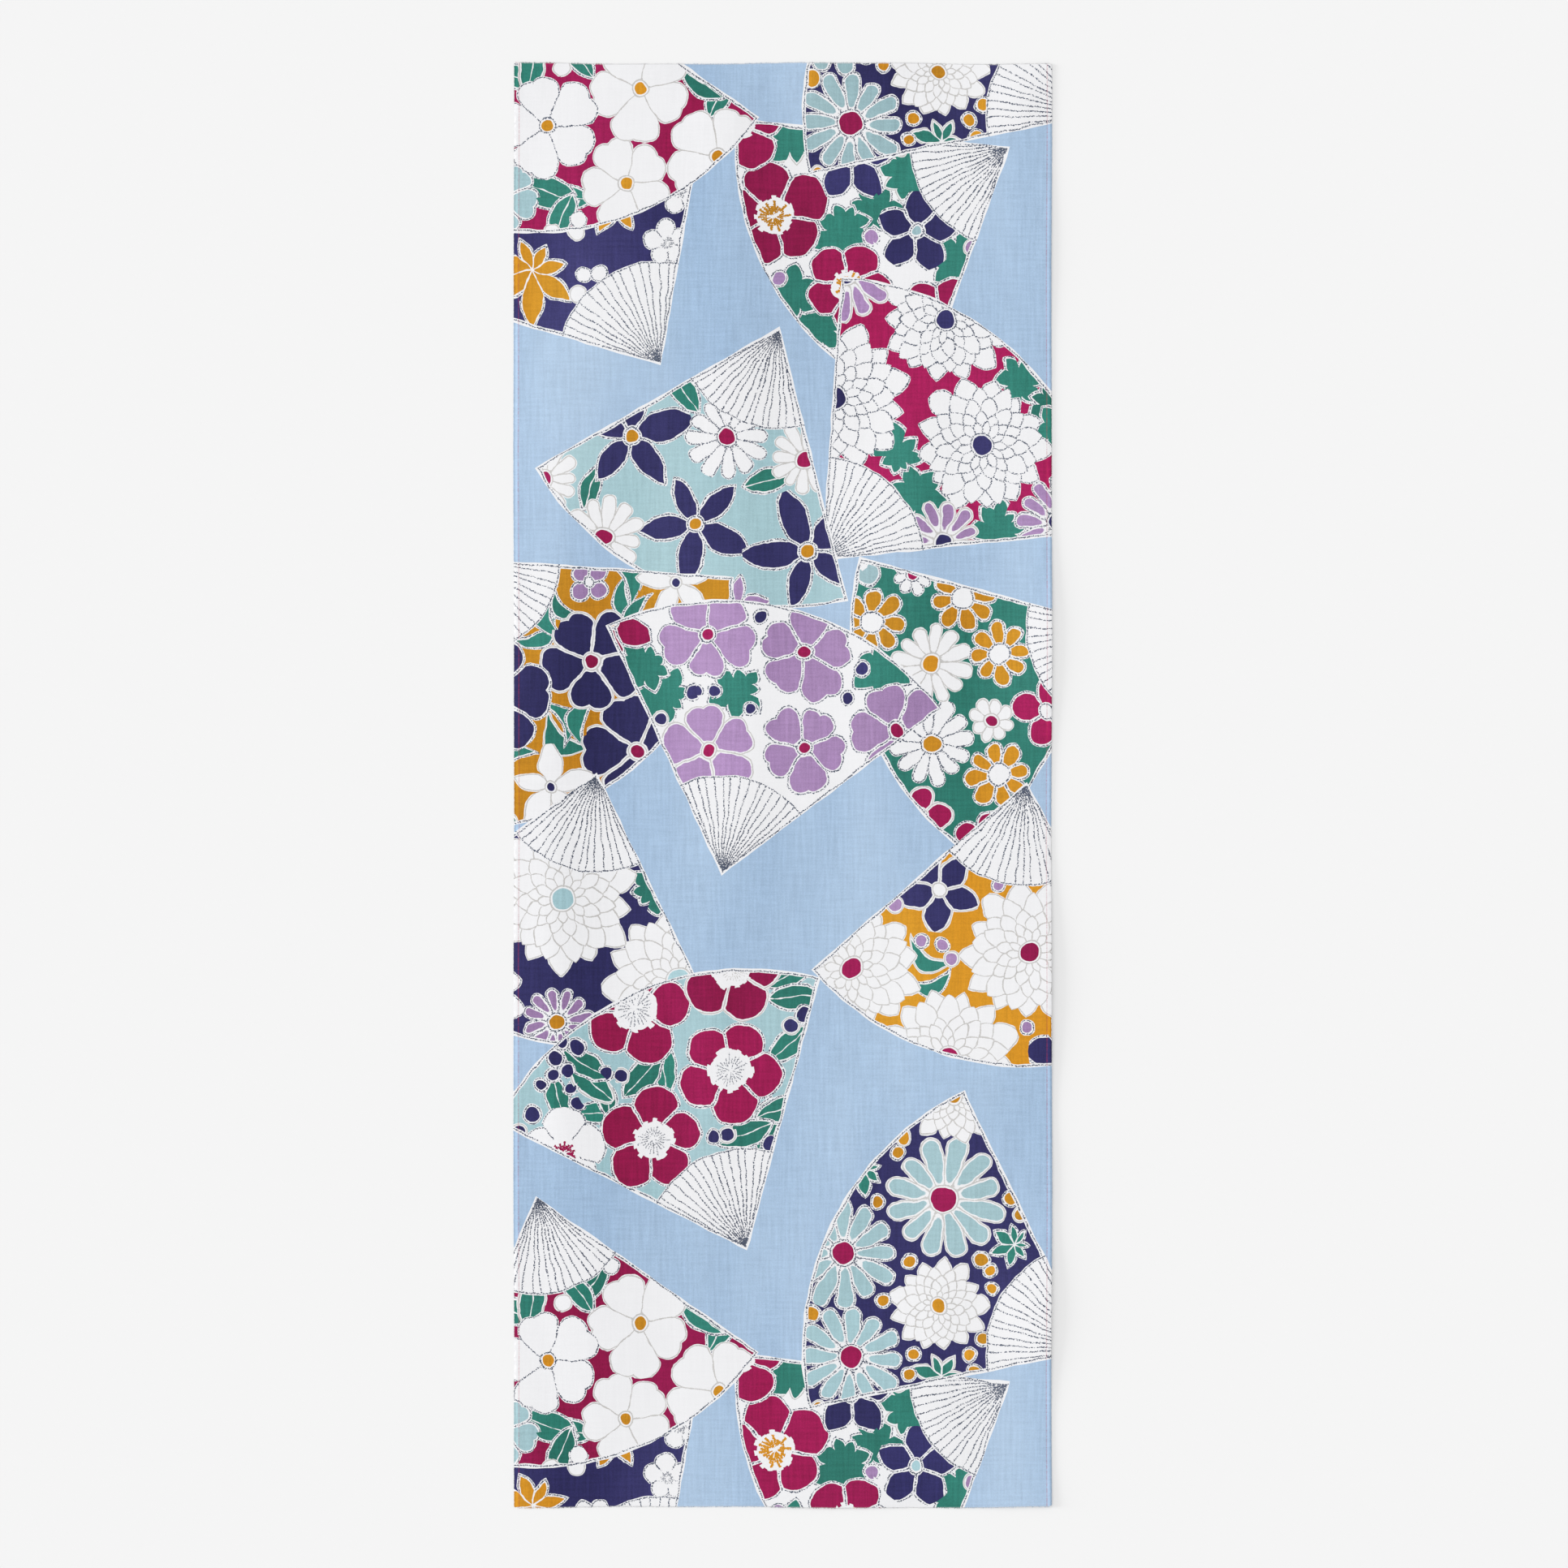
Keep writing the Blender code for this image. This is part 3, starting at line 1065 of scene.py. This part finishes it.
def dressTowel(edges, heights):
    laid = layOutPrint()
    flat, corners, looks, motifs = mapPrint(laid, edges)
    mesh = bpy.data.meshes.new("flatSheet")
    z = heightAt(flat, heights)
    mesh.from_pydata([(*place, height) for place, height in zip(flat, z)], [], corners)
    kinds = keepPrint(mesh, looks, laid, motifs)
    writeVectors(mesh, "fromEdges", "POINT", edgeDistances(flat, edges))
    groups = {"fan": fanGroup(), "single": motifGroup("printedMotif", 1),
              "ringed": motifGroup("ringedMotif", motifKinds["mum"]["rings"])}
    for wrongSide in (False, True):
        for key in kinds:
            mesh.materials.append(cottonMaterial(groups, key, wrongSide))
    mesh.shade_smooth()
    towel = finished(mesh, "printed_towel")
    layOutMap(towel.data)
    print("towel dressed:", len(kinds), "kinds of face")
    return towel


solidFaces = solidTree()
outline = clothOutline(solidFaces)
heights = smoothHeights(solidFaces)
towel = dressTowel(outline, heights)
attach(towel, "root")
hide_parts("towel_cloth")


# Loose threads: the cut ends of the warp, and the turns that the weft makes at the selvedges

threads = {
    "frayed_ends": {
        "pitch": 0.00046,
        "stray": 0.35,  # of the pitch, to either side
        "missing": 0.12,
        "thickness": 0.00028,
        "shortest": 0.00015,
        "longest": 0.0009,
        "sway": math.radians(24),
        "seed": 5,
    },
    "weft_turns": {
        "pitch": 0.00056,
        "stray": 0.08,
        "missing": 0.0,
        "thickness": 0.00026,
        "shortest": 0.7,  # beside a half round
        "longest": 1.25,
        "sway": math.radians(5),
        "seed": 8,
    },
}
fromCorner = 0.0004  # where each row of threads starts
rootDepth = 0.0001  # how far inside the rim they are rooted


def looseEnd(tree):
    # 1 long, so that its scale is its length, with its root behind it, a small bow and its tip lifted
    curve = {"Resolution": 2, "Start": (-0.2, 0, 0), "Middle": (0.5, 0.00010, 0), "End": (1, 0, 0.00012)}
    return made(tree, "GeometryNodeCurveQuadraticBezier", curve)


def halfTurn(tree):
    arc = {"Resolution": 5, "Radius": threads["weft_turns"]["pitch"] / 2,
           "Start Angle": -math.pi / 2, "Sweep Angle": math.pi}
    return made(tree, "GeometryNodeCurveArc", arc)


def threadTree(name, shape):
    # stands one thread at every point, turned by the point's own "outward" angle
    sizes = dict.fromkeys(("thickness", "shortest", "longest", "sway"), "Float")
    inputs = {"Points": "Geometry", **sizes, "seed": "Int", "Cotton": "Material"}
    tree, given, out = newGroup(name, inputs, {"Threads": "Geometry"}, "GeometryNodeTree")

    def luck(low, high, seed):
        return made(tree, "FunctionNodeRandomValue", {2: low, 3: high, 8: seed}, 1)  # for plain numbers

    section = {"Resolution": 3, "Radius": given["thickness"] * 0.5}
    ring = made(tree, "GeometryNodeCurvePrimitiveCircle", section)
    thread = made(tree, "GeometryNodeCurveToMesh",
                  {"Curve": shape(tree), "Profile Curve": ring, "Fill Caps": True})
    outward = made(tree, "GeometryNodeInputNamedAttribute", {"Name": "outward"})
    turn = outward + luck(given["sway"] * -1.0, given["sway"], given["seed"])
    reach = luck(given["shortest"], given["longest"], given["seed"] + 1.0)
    stood = made(tree, "GeometryNodeInstanceOnPoints",
                 {"Points": given["Points"], "Instance": thread,
                  "Rotation": joined(tree, 0.0, 0.0, turn), "Scale": joined(tree, reach, 1.0, 1.0)})
    real = made(tree, "GeometryNodeRealizeInstances", {"Geometry": stood})
    dressed = made(tree, "GeometryNodeSetMaterial", {"Geometry": real, "Material": given["Cotton"]})
    plug(tree, out.inputs["Threads"], dressed)
    return tree


def rootsAlong(edge, facing, way, size, rng):
    # where the threads stand on one edge, and the way that they point
    line = np.array(edge)
    spots = np.arange(line[0, way] + fromCorner, line[-1, way] - fromCorner, size["pitch"])
    spots = [spot + size["pitch"] * rng.uniform(-size["stray"], size["stray"])
             for spot in spots if rng.random() >= size["missing"]]
    other = np.interp(spots, line[:, way], line[:, 1 - way])
    places = np.stack([spots, other] if way == 0 else [other, spots], axis=1)
    return places - rootDepth * np.array(unit(facing)), [math.radians(facing)] * len(spots)


def standThreads(name, shape, sides):
    size = threads[name]
    rng = random.Random(size["seed"])
    rows = [rootsAlong(edge, facing, way, size, rng) for edge, facing, way in sides]
    places = np.concatenate([row[0] for row in rows])
    z = heightAt(places, heights) + cloth["thick"] / 2
    points = bpy.data.meshes.new(name)
    points.from_pydata([(*place, height) for place, height in zip(places, z)], [], [])
    outward = points.attributes.new("outward", "FLOAT", "POINT")
    outward.data.foreach_set("value", sum((row[1] for row in rows), []))
    holder = newObject("threadRoots", points)
    grown = holder.modifiers.new("threads", "NODES")
    grown.node_group = threadTree(name, shape)
    for item in grown.node_group.interface.items_tree:
        if item.in_out == "INPUT" and item.name in size:
            grown[item.identifier] = size[item.name]
        elif item.name == "Cotton":
            grown[item.identifier] = towel.data.materials[0]
    mesh = madePlain(holder, name)
    mesh.shade_smooth()
    printThreads(mesh, places)
    piece = newObject(name, mesh)
    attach(piece, "root")
    print(name + ":", len(places), "threads,", len(mesh.polygons), "faces")
    return piece


def printThreads(mesh, places):
    # each thread takes the print of the cloth's face that it comes out of
    own = towel.data
    upper = [face.index for face in own.polygons if face.normal.z > 0.5]
    surface = BVHTree.FromPolygons([v.co for v in own.vertices], [own.polygons[k].vertices for k in upper])
    above = 0.002  # higher than any of it
    nearest = np.array([upper[surface.find_nearest(Vector((*place, above)))[2]] for place in places])
    each = len(mesh.polygons) // len(places)
    source = np.repeat(nearest, each)
    mesh.materials.clear()
    for material in list(own.materials)[:len(own.materials) // 2]:
        mesh.materials.append(material)
    mesh.polygons.foreach_set("material_index", readOut(own.polygons, "material_index", 1)[source])
    for held in list(own.attributes):
        if held.domain == "FACE" and held.data_type == "FLOAT_VECTOR":
            writeVectors(mesh, held.name, "FACE", readOut(held.data, "vector")[source])
    writeVectors(mesh, "fromEdges", "POINT", edgeDistances(readOut(mesh.vertices, "co"), outline))

    # a cell of the UV map for each thread, and a slot in it for each of its faces
    columns = math.ceil(math.sqrt(len(places)))
    low, high = 0.1, 0.9  # of the slot
    corners = ((low, low), (high, low), (high, high), (low, high))
    uv = mesh.uv_layers.new(name="OFBake")
    spread = []
    for face in mesh.polygons:
        thread, slot = divmod(face.index, each)
        for across, up in corners[:face.loop_total]:
            spread.append((thread % columns + (slot + across) / each) / columns)
            spread.append((thread // columns + up) / columns)
    uv.data.foreach_set("uv", spread)


near, right, far, left = outline
frayed = standThreads("frayed_ends", looseEnd, [(near, 270, 0), (far, 90, 0)])
turned = standThreads("weft_turns", halfTurn, [(left, 180, 1), (right, 0, 1)])
